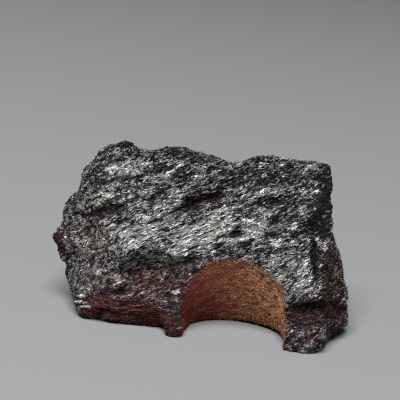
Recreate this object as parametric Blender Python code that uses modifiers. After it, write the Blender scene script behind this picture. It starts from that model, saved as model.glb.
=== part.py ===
"""Raw nuummite: a broken block of dark, fibrous amphibole rock, stood on the flat spots of its underside.

Its front was split along the grain, its ends were broken across it, and part of a drill hole has left a
smooth round scoop in the lower front edge. It grew and broke as one piece, so it is one solid.

Lengths are in millimetres until the finished mesh is scaled to metres. The front is described in a leaning
frame: right, up and out, where up leans back from the upright and out comes towards the viewer.
"""

import math

import bmesh
import bpy
from mathutils import Matrix, Vector, noise

MM = 0.001
MERGE = 0.0001

# The widest contour lies in a plane that leans back from the upright by this angle.
LEAN = math.radians(14.0)
RIGHT = Vector((1.0, 0.0, 0.0))
UP = Vector((0.0, math.sin(LEAN), math.cos(LEAN)))
OUT = Vector((0.0, -math.cos(LEAN), math.sin(LEAN)))

# The grain: the fibres rise to the right across the front and run slightly inwards.
GRAIN_RISE = math.radians(28.0)
GRAIN_INWARDS = 0.25
GRAIN = (RIGHT * math.cos(GRAIN_RISE) + UP * math.sin(GRAIN_RISE) - OUT * GRAIN_INWARDS).normalized()
ACROSS = OUT.cross(GRAIN).normalized()
THROUGH = GRAIN.cross(ACROSS)

# Contour of the block, seen square on to the leaning plane: millimetres right of the middle, and up.
CONTOUR = [
    (17.0, -9.0), (24.2, -9.0), (25.0, 1.4), (27.3, 3.8), (30.0, 6.6), (29.2, 10.6),
    (28.4, 14.4), (27.2, 20.0), (25.0, 25.4), (24.0, 31.0), (24.6, 37.0), (23.0, 38.6),
    (17.8, 38.5), (14.5, 38.6), (10.5, 38.0), (8.0, 37.7), (6.0, 36.9), (3.4, 36.4),
    (0.4, 37.0), (-3.0, 36.9), (-7.0, 37.3), (-11.5, 36.9), (-14.8, 36.7), (-16.4, 37.8),
    (-18.5, 38.4), (-20.6, 37.4), (-22.8, 35.9), (-23.6, 33.6), (-25.4, 31.8), (-26.2, 27.8),
    (-28.0, 25.2), (-29.6, 21.5), (-32.3, 17.0), (-31.5, 14.6), (-28.2, 12.8), (-26.5, 9.8),
    (-25.2, 6.8), (-24.4, 4.0), (-22.6, 2.0), (-21.0, -9.0),
]
BLANK_HALF_DEPTH = 45.0

# The block widens towards its back, about this middle, by this share of its width for each millimetre.
MIDDLE = (-1.9, 28.1)
FLARE = 1.0 / 300.0

# Breaks that run right across the block. Each is a plane through a point (right, up, out) in the leaning
# frame; it faces sideways by the first angle (to the right if positive) and upwards by the second.
BREAKS = {
    "upper front": ((0.0, 25.0, -1.8), 0.0, 6.0),
    "lower front": ((7.0, 17.4, -1.0), 0.0, 22.0),
    "brow": ((0.0, 32.4, -2.7), 4.0, 25.0),
    "left end": ((-16.5, 18.0, 1.0), -42.0, 2.0),
    "left shoulder": ((-19.0, 31.0, -3.4), -38.0, 25.0),
    "right end": ((24.0, 14.0, 0.4), 61.0, 7.0),
    "toe of the leg": ((22.0, 10.0, 2.2), 6.0, -8.0),
    "top": ((0.0, 38.6, -7.0), 176.0, 86.0),
    "top, back edge": ((0.0, 36.6, -17.6), 176.0, 52.0),
    "back": ((0.0, 16.4, -24.3), 178.0, 18.0),
    "back, left": ((-30.0, 17.0, -12.5), -128.0, 12.0),
    "back, right": ((29.5, 10.0, -14.5), 122.0, 16.0),
    "back, low": ((0.0, 14.4, -24.7), 172.0, -14.0),
}

# Breaks that stop at the foot. Each is the face of a box that lies to the left of its point.
CHIPS = {
    "undercut on the left": ((-2.5, 16.5, 1.6), 0.0, -16.0),
    "lowest edge on the left": ((-6.8, 4.4, -2.2), 0.0, -54.0),
}
CHIP_SIZE = 60.0

# The drill hole: it enters the lower front, and goes back and down through the underside.
HOLE_RADIUS = 10.5
HOLE_ON_FRONT = (6.6, 6.5, 3.2)
HOLE_OFF_SQUARE = math.radians(45.0)
HOLE_DRIFT = math.radians(6.0)
HOLE_HALF_LENGTH = 60.0
HOLE_SIDES = 72

# The underside lies a little above the ground, so that the stone rests on flat spots and not all over.
UNDERSIDE = 0.45

# Roughness of the broken faces: how far the surface wanders, and how far apart its swells are.
SWELL_SPACING = 10.0
SWELL = 1.0
WANDER_SPACING = 5.0
WANDER = 0.55
LEDGE_SPACING = 3.4
LEDGE = 0.75
LEDGE_BEND = 1.6
LEDGE_PATCH = 7.0
LEDGE_RISING = 0.8
LEDGE_EVENNESS = 0.5
FIBRE_LENGTH = 6.5
FIBRE_WIDTH = 1.9
FIBRE = 0.5
FINE_FIBRE_SHARE = 0.5
FINE_FIBRE_SCALE = 2.0
RIM_SHARE = 0.4
RIM_REACH = 1.5
NOISE_PLACE = Vector((41.3, 7.9, 23.6))
NOISE_SEED = 1

SKIN_VOXEL = 0.55
SMOOTH_PASSES = 2
SMOOTH_FACTOR = 0.5
SKIN_TRIANGLES = 8400
GROUND_SIZE = 120.0

# Frames that the hollows and bosses are given in: right, up and out as seen from that side.
SIDES = {
    "front": (RIGHT, UP, OUT),
    "back": (Vector((-1, 0, 0)), Vector((0, 0, 1)), Vector((0, 1, 0))),
    "left": (Vector((0, -1, 0)), Vector((0, 0, 1)), Vector((-1, 0, 0))),
    "right": (Vector((0, 1, 0)), Vector((0, 0, 1)), Vector((1, 0, 0))),
    "top": (Vector((1, 0, 0)), Vector((0, 1, 0)), Vector((0, 0, 1))),
    "under": (Vector((1, 0, 0)), Vector((0, -1, 0)), Vector((0, 0, -1))),
}

# A boss or hollow is level up to this share of its size, and has run out at the other one.
RELIEF_LEVEL = 0.4
RELIEF_END = 1.2
# It fades on surface that is turned away from its side, from where this times the cosine falls below one.
RELIEF_TURNED = 2.0

# Bosses (raised) and hollows (sunk): the side, the middle (right, up), half the length and half the width,
# how far the length is turned upwards, and the height.
RELIEF = {
    "knob on the left shoulder": ("front", (-18.8, 36.2), (4.4, 3.2), 10, 1.7),
    "hollow beside the knob": ("front", (-14.4, 35.2), (3.6, 2.6), 115, -1.3),
    "ledge under the knob": ("front", (-17.3, 32.6), (4.8, 1.5), 6, 1.1),
    "hollow under that ledge": ("front", (-18.4, 30.2), (5.2, 1.5), 8, -0.9),
    "pit at the left edge": ("front", (-23.2, 30.5), (2.4, 1.5), 20, -1.3),
    "groove in the left end": ("front", (-19.6, 24.0), (4.4, 1.2), 22, -1.0),
    "hollow in the left end": ("front", (-25.2, 20.2), (2.8, 3.2), 60, -0.7),
    "corner ridge, upper": ("front", (-16.4, 27.4), (3.4, 1.9), 100, 0.8),
    "corner ridge, lower": ("front", (-16.6, 20.0), (3.0, 1.8), 95, 0.7),
    "belly": ("front", (-12.4, 18.2), (7.5, 2.8), 14, 1.6),
    "hollow under the belly": ("front", (-9.4, 12.2), (7.0, 3.6), 12, -2.2),
    "grain at the corner": ("front", (-16.0, 15.4), (1.7, 1.4), 0, 0.9),
    "lower grain at the corner": ("front", (-16.2, 10.0), (1.9, 1.5), 0, 1.0),
    "grain in the left end": ("front", (-21.0, 11.6), (2.2, 1.5), 20, 0.9),
    "tip on the left": ("front", (-28.4, 16.4), (2.2, 1.8), 0, 0.8),
    "slanting pit": ("front", (-1.2, 28.4), (5.4, 2.0), 28, -2.3),
    "lip over the pit": ("front", (-1.2, 31.4), (6.6, 1.5), 24, 1.0),
    "boss left of the pit": ("front", (-7.2, 27.6), (2.6, 1.7), 30, 0.9),
    "upper left ledge": ("front", (-9.4, 32.0), (3.8, 1.1), 20, 0.8),
    "ledge under the pit": ("front", (1.6, 25.4), (3.4, 1.4), 18, 1.0),
    "long groove on the left": ("front", (-9.5, 23.6), (6.5, 1.3), 27, -0.8),
    "belt beside the scoop": ("front", (-1.8, 18.4), (6.0, 1.9), 22, 1.1),
    "groove under the belt": ("front", (-4.6, 15.4), (4.0, 1.2), 18, -0.9),
    "hollow above the scoop": ("front", (6.2, 22.6), (2.6, 2.1), 10, -1.2),
    "rim above the scoop": ("front", (8.0, 19.0), (5.0, 1.3), 0, 0.7),
    "rim on the right": ("front", (11.2, 22.4), (1.5, 3.0), 10, 0.7),
    "small ledge on the right": ("front", (11.6, 31.2), (2.6, 1.2), 12, 0.9),
    "hollow on the right": ("front", (15.8, 27.4), (4.6, 3.2), 20, -1.1),
    "groove at the right edge": ("front", (19.6, 23.4), (4.4, 1.1), 38, -0.7),
    "plain facet on the right": ("front", (18.0, 15.4), (5.0, 5.5), 90, 0.7),
    "hollow across the leg": ("front", (24.0, 7.8), (7.5, 2.4), 4, -1.8),
    "heel of the leg": ("front", (22.6, 3.0), (4.6, 2.8), 10, 1.3),
    "foot": ("front", (-5.2, 1.0), (2.6, 3.4), 0, 2.4),
    "step in the back": ("back", (-6.0, 22.0), (22.0, 5.0), -24, -1.6),
    "boss in the back": ("back", (9.0, 12.0), (11.0, 6.0), -20, 1.4),
    "groove in the back": ("back", (4.0, 17.6), (16.0, 1.8), -26, -1.3),
    "corner lost from the back": ("back", (-20.0, 8.0), (8.0, 6.0), 30, -2.2),
    "hollow in the right end": ("right", (13.0, 19.0), (7.0, 4.0), 60, -0.6),
    "ledge in the right end": ("right", (10.0, 9.0), (9.0, 2.0), 10, 0.5),
    "hollow on the left, low": ("left", (-14.0, 9.0), (6.0, 3.0), 20, -1.2),
    "tip of the left end": ("left", (-14.8, 14.6), (4.5, 2.2), 0, 1.3),
    "ledge on the left": ("left", (-15.0, 21.0), (8.0, 2.2), 30, 1.0),
    "saddle in the top": ("top", (4.0, 23.0), (4.0, 6.0), 10, -0.7),
    "hump in the top": ("top", (-8.0, 24.0), (6.0, 4.0), 0, 0.7),
    "hollow under the left": ("under", (-16.0, -15.0), (9.0, 4.0), 0, -1.6),
    "hollow under the back": ("under", (-4.0, -22.5), (8.0, 3.0), 0, -1.4),
    "hollow under the leg": ("under", (21.0, -9.0), (5.0, 3.0), 0, -1.4),
    "hollow behind the hole": ("under", (10.0, -21.0), (7.0, 2.5), 10, -1.2),
    "rest under the leg": ("under", (21.6, -1.8), (4.6, 2.6), 0, 1.2),
    "rest under the foot": ("under", (-5.2, -2.2), (2.0, 3.4), 0, 1.2),
    "rest under the belly": ("under", (-13.5, -8.6), (6.5, 2.6), 0, 1.2),
    "rest at the back, left": ("under", (-18.0, -23.0), (6.0, 2.6), 10, 1.3),
    "rest at the back, right": ("under", (22.0, -17.5), (5.5, 2.4), -6, 1.3),
}


def leaning(right, up, out):
    """A place in the leaning frame, as a vector in millimetres."""
    return RIGHT * right + UP * up + OUT * out


def facing(sideways, upwards):
    """The direction that a break faces."""
    turn = math.radians(sideways)
    pitch = math.radians(upwards)
    return leaning(math.sin(turn) * math.cos(pitch), math.sin(pitch), math.cos(turn) * math.cos(pitch))


def clear_scene():
    for obj in list(bpy.data.objects):
        bpy.data.objects.remove(obj)


def collection(name):
    made = bpy.data.collections.new(name)
    bpy.context.scene.collection.children.link(made)
    return made


def evaluated_mesh(obj):
    """The object's mesh with its modifiers applied, as a new mesh."""
    bpy.context.view_layer.update()
    graph = bpy.context.evaluated_depsgraph_get()
    return bpy.data.meshes.new_from_object(obj.evaluated_get(graph))


def rock_material():
    """Near-black amphibole with a silky sheen along its fibres."""
    material = bpy.data.materials.new("fibrous amphibole")
    material.use_nodes = True
    shader = material.node_tree.nodes["Principled BSDF"]
    shader.inputs["Base Color"].default_value = (0.035, 0.034, 0.036, 1.0)
    shader.inputs["Roughness"].default_value = 0.38
    shader.inputs["Metallic"].default_value = 0.0
    return material


def rough_block():
    """The contour as a flat outline, thickened along the line that looks square onto it."""
    curve = bpy.data.curves.new("contour", "CURVE")
    curve.dimensions = "2D"
    curve.fill_mode = "BOTH"
    curve.extrude = BLANK_HALF_DEPTH
    spline = curve.splines.new("POLY")
    spline.points.add(len(CONTOUR) - 1)
    for point, (right, up) in zip(spline.points, CONTOUR):
        point.co = (right, up, 0.0, 1.0)
    spline.use_cyclic_u = True
    outline = bpy.data.objects.new("contour", curve)
    outline.rotation_euler.x = math.pi / 2 - LEAN
    bpy.context.scene.collection.objects.link(outline)
    mesh = evaluated_mesh(outline)
    mesh.transform(outline.matrix_world)
    bpy.data.objects.remove(outline)
    shape = bmesh.new()
    shape.from_mesh(mesh)
    bmesh.ops.remove_doubles(shape, verts=shape.verts, dist=MERGE)
    middle = leaning(*MIDDLE, 0.0)
    for vert in shape.verts:
        out = vert.co.dot(OUT)
        off_middle = vert.co - middle - OUT * out
        vert.co -= off_middle * (out * FLARE)
    bmesh.ops.recalc_face_normals(shape, faces=shape.faces)
    return mesh, shape


def break_off(shape, point, direction):
    """Takes off all that lies beyond a plane, and closes the break."""
    everything = shape.verts[:] + shape.edges[:] + shape.faces[:]
    cut = bmesh.ops.bisect_plane(
        shape, geom=everything, plane_co=point, plane_no=direction, clear_outer=True, dist=MERGE
    )
    rim = [item for item in cut["geom_cut"] if isinstance(item, bmesh.types.BMEdge)]
    bmesh.ops.holes_fill(shape, edges=rim, sides=0)


def cutter(name, mesh, group):
    """A helper object that is only cut with."""
    obj = bpy.data.objects.new(name, mesh)
    obj.hide_render = True
    obj.display_type = "WIRE"
    group.objects.link(obj)
    return obj


def mesh_from(shape, name):
    mesh = bpy.data.meshes.new(name)
    shape.to_mesh(mesh)
    shape.free()
    return mesh


def chip(name, corner, sideways, upwards, group):
    """A box whose face passes through the corner, and which lies to the left of it."""
    shape = bmesh.new()
    bmesh.ops.create_cube(shape, size=CHIP_SIZE)
    outwards = facing(sideways, upwards)
    to_right = (RIGHT - outwards * RIGHT.dot(outwards)).normalized()
    turn = Matrix((to_right, outwards.cross(to_right), outwards)).transposed().to_4x4()
    centre = leaning(*corner) + (outwards - to_right) * (CHIP_SIZE / 2)
    bmesh.ops.transform(shape, matrix=Matrix.Translation(centre) @ turn, verts=shape.verts)
    return cutter(name, mesh_from(shape, name), group)


def drill_hole(group):
    """The cylinder that the drill took, along its slanting axis."""
    shape = bmesh.new()
    bmesh.ops.create_cone(
        shape, cap_ends=True, segments=HOLE_SIDES, radius1=HOLE_RADIUS, radius2=HOLE_RADIUS,
        depth=2 * HOLE_HALF_LENGTH,
    )
    down = leaning(math.sin(HOLE_DRIFT), -math.cos(HOLE_DRIFT), 0.0)
    axis = down * math.sin(HOLE_OFF_SQUARE) - OUT * math.cos(HOLE_OFF_SQUARE)
    turn = axis.to_track_quat("Z", "Y").to_matrix().to_4x4()
    place = Matrix.Translation(leaning(*HOLE_ON_FRONT)) @ turn
    bmesh.ops.transform(shape, matrix=place, verts=shape.verts)
    return cutter("drill hole", mesh_from(shape, "drill hole"), group)


def cut_away(obj, tool):
    modifier = obj.modifiers.new(tool.name, "BOOLEAN")
    modifier.operation = "DIFFERENCE"
    modifier.object = tool


def smooth_step(share):
    share = min(max(share, 0.0), 1.0)
    return share * share * (3.0 - 2.0 * share)


def relief_at(place, normal):
    """How far the bosses and hollows move a place on the surface."""
    moved = Vector((0.0, 0.0, 0.0))
    for side, (right, up), (half_length, half_width), turn, height in RELIEF.values():
        right_axis, up_axis, out_axis = SIDES[side]
        facing_side = smooth_step(normal.dot(out_axis) * RELIEF_TURNED)
        if facing_side == 0.0:
            continue
        across = place.dot(right_axis) - right
        along = place.dot(up_axis) - up
        cos_turn = math.cos(math.radians(turn))
        sin_turn = math.sin(math.radians(turn))
        long_way = (across * cos_turn + along * sin_turn) / half_length
        short_way = (along * cos_turn - across * sin_turn) / half_width
        reached = math.hypot(long_way, short_way)
        falloff = smooth_step((RELIEF_END - reached) / (RELIEF_END - RELIEF_LEVEL))
        moved += out_axis * (height * falloff * facing_side)
    return moved


def ledges_at(place):
    """Steps across the grain: each one rises slowly and then breaks off."""
    bend = LEDGE_BEND * noise.noise(place / SWELL_SPACING + NOISE_PLACE)
    share = (place.dot(ACROSS) / LEDGE_SPACING + bend) % 1.0
    falling = LEDGE_RISING / (1.0 - LEDGE_RISING)
    rise = share if share < LEDGE_RISING else falling * (1.0 - share)
    strength = smooth_step(LEDGE_EVENNESS + noise.noise(place / LEDGE_PATCH - NOISE_PLACE))
    return LEDGE * strength * (rise - LEDGE_RISING / 2)


def fibres_at(place):
    """Uneven bundles of fibres along the grain."""
    stretched = Vector((
        place.dot(GRAIN) / FIBRE_LENGTH, place.dot(ACROSS) / FIBRE_WIDTH, place.dot(THROUGH) / FIBRE_WIDTH
    ))
    fine = FINE_FIBRE_SHARE * noise.noise(stretched * FINE_FIBRE_SCALE - NOISE_PLACE)
    return FIBRE * (noise.noise(stretched + NOISE_PLACE) + fine)


def roughen(mesh):
    """Turns the plane breaks into broken rock."""
    noise.seed_set(NOISE_SEED)
    shape = bmesh.new()
    shape.from_mesh(mesh)
    shape.normal_update()
    for _ in range(SMOOTH_PASSES):
        bmesh.ops.smooth_vert(
            shape, verts=shape.verts, factor=SMOOTH_FACTOR, use_axis_x=True, use_axis_y=True, use_axis_z=True
        )
    shape.normal_update()
    moves = {}
    for vert in shape.verts:
        place = vert.co.copy()
        # The rim seen from the front already has its shape from the contour, so it is roughened less.
        share = RIM_SHARE + (1.0 - RIM_SHARE) * smooth_step(RIM_REACH * abs(vert.normal.dot(OUT)))
        wander = noise.noise_vector(place / WANDER_SPACING + NOISE_PLACE) * WANDER
        swell = SWELL * noise.noise(place / SWELL_SPACING - NOISE_PLACE)
        rough = wander + vert.normal * (swell + ledges_at(place) + fibres_at(place))
        moves[vert] = rough * share + relief_at(place, vert.normal)
    for vert, move in moves.items():
        vert.co += move
    shape.to_mesh(mesh)
    shape.free()


def skin(mesh, group):
    """A fine, even skin over the block, roughened and then thinned."""
    obj = bpy.data.objects.new("skin", mesh)
    group.objects.link(obj)
    remesh = obj.modifiers.new("fine skin", "REMESH")
    remesh.mode = "VOXEL"
    remesh.voxel_size = SKIN_VOXEL
    obj.data = evaluated_mesh(obj)
    obj.modifiers.clear()
    roughen(obj.data)
    obj.data.calc_loop_triangles()
    thin = obj.modifiers.new("thin", "DECIMATE")
    thin.ratio = SKIN_TRIANGLES / len(obj.data.loop_triangles)
    thin.use_collapse_triangulate = True
    mesh = evaluated_mesh(obj)
    bpy.data.objects.remove(obj)
    return mesh


def ground(group):
    """A block below the ground, which cuts the flat spots that the stone rests on."""
    shape = bmesh.new()
    bmesh.ops.create_cube(shape, size=GROUND_SIZE)
    bmesh.ops.translate(shape, verts=shape.verts, vec=(0.0, 0.0, -GROUND_SIZE / 2))
    return cutter("ground", mesh_from(shape, "ground"), group)


def middle_below(mesh):
    """The origin of the finished stone: on the ground, under the middle of its box."""
    across = [vert.co.x for vert in mesh.vertices]
    back = [vert.co.y for vert in mesh.vertices]
    return Vector(((min(across) + max(across)) / 2, (min(back) + max(back)) / 2, 0.0))


def main():
    clear_scene()
    stone_parts = collection("raw nuummite")
    cutters = collection("cutters")
    mesh, shape = rough_block()
    for point, sideways, upwards in BREAKS.values():
        break_off(shape, leaning(*point), facing(sideways, upwards))
    break_off(shape, Vector((0.0, 0.0, UNDERSIDE)), Vector((0.0, 0.0, -1.0)))
    bmesh.ops.triangulate(shape, faces=shape.faces)
    block = bpy.data.objects.new("block", mesh_from(shape, "block"))
    stone_parts.objects.link(block)
    for name, (corner, sideways, upwards) in CHIPS.items():
        cut_away(block, chip(name, corner, sideways, upwards, cutters))
    mesh = evaluated_mesh(block)
    bpy.data.objects.remove(block)
    stone = bpy.data.objects.new("nuummite", skin(mesh, stone_parts))
    stone.data.materials.append(rock_material())
    stone_parts.objects.link(stone)
    cut_away(stone, drill_hole(cutters))
    cut_away(stone, ground(cutters))
    to_row = Matrix.Scale(MM, 4) @ Matrix.Translation(-middle_below(stone.data))
    for obj in [stone, *cutters.objects]:
        obj.data.transform(to_row)


main()
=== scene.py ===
"""Raw nuummite: dark amphibole rock with silvery needles along its grain and a brown, drilled scoop.

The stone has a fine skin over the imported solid, and the needles that grew through it stand slightly proud.
Lengths are in metres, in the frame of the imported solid, unless a comment says millimetres.
"""

import math

import bpy
import numpy as np
from mathutils import Matrix, Vector, kdtree, noise


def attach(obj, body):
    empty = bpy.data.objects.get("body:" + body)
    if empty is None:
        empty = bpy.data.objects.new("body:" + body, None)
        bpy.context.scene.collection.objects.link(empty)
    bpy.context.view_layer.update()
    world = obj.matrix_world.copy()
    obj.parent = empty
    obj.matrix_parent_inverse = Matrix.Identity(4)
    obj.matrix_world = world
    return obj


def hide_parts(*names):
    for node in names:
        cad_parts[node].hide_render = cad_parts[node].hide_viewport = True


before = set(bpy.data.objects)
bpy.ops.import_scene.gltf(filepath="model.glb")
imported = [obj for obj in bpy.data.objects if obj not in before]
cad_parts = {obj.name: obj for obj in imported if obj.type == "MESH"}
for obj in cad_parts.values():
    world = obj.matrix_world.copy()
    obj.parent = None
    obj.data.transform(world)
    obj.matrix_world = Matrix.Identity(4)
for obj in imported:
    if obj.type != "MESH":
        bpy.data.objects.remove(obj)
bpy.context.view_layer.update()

MM = 0.001

# The widest contour lies in a plane that leans back from the upright by this angle.
LEAN = math.radians(14.0)
RIGHT = Vector((1.0, 0.0, 0.0))
UP = Vector((0.0, math.sin(LEAN), math.cos(LEAN)))
OUT = Vector((0.0, -math.cos(LEAN), math.sin(LEAN)))
LEANING_ZERO = Vector((-0.02, -14.34, 0.0)) * MM


def rising(degrees):
    """The way across the front that rises to the right by this angle."""
    rise = math.radians(degrees)
    return RIGHT * math.cos(rise) + UP * math.sin(rise)


# The fibres rise to the right across the front and run slightly inwards. They are nearly level in the band
# on the left and steeper on the facet on the right.
GRAIN_INWARDS = 0.25
GRAIN = (rising(28.0) - OUT * GRAIN_INWARDS).normalized()
ACROSS = OUT.cross(GRAIN).normalized()
THROUGH = GRAIN.cross(ACROSS)
BAND_GRAIN = rising(5.0)
FACET_GRAIN = rising(44.0)

# The drill hole that left the scoop.
HOLE_RADIUS = 10.5 * MM
HOLE_ON_FRONT = LEANING_ZERO + (RIGHT * 6.6 + UP * 6.5 + OUT * 3.2) * MM
HOLE_DRIFT = math.radians(6.0)
HOLE_OFF_SQUARE = math.radians(45.0)
HOLE_DOWN = RIGHT * math.sin(HOLE_DRIFT) - UP * math.cos(HOLE_DRIFT)
HOLE_AXIS = HOLE_DOWN * math.sin(HOLE_OFF_SQUARE) - OUT * math.cos(HOLE_OFF_SQUARE)

# The skin: quads that are longer along the grain than across it.
SKIN_ACROSS = 0.270 * MM
SKIN_STRETCH = 2.1
SAME_CORNER = 0.001 * MM

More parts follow.
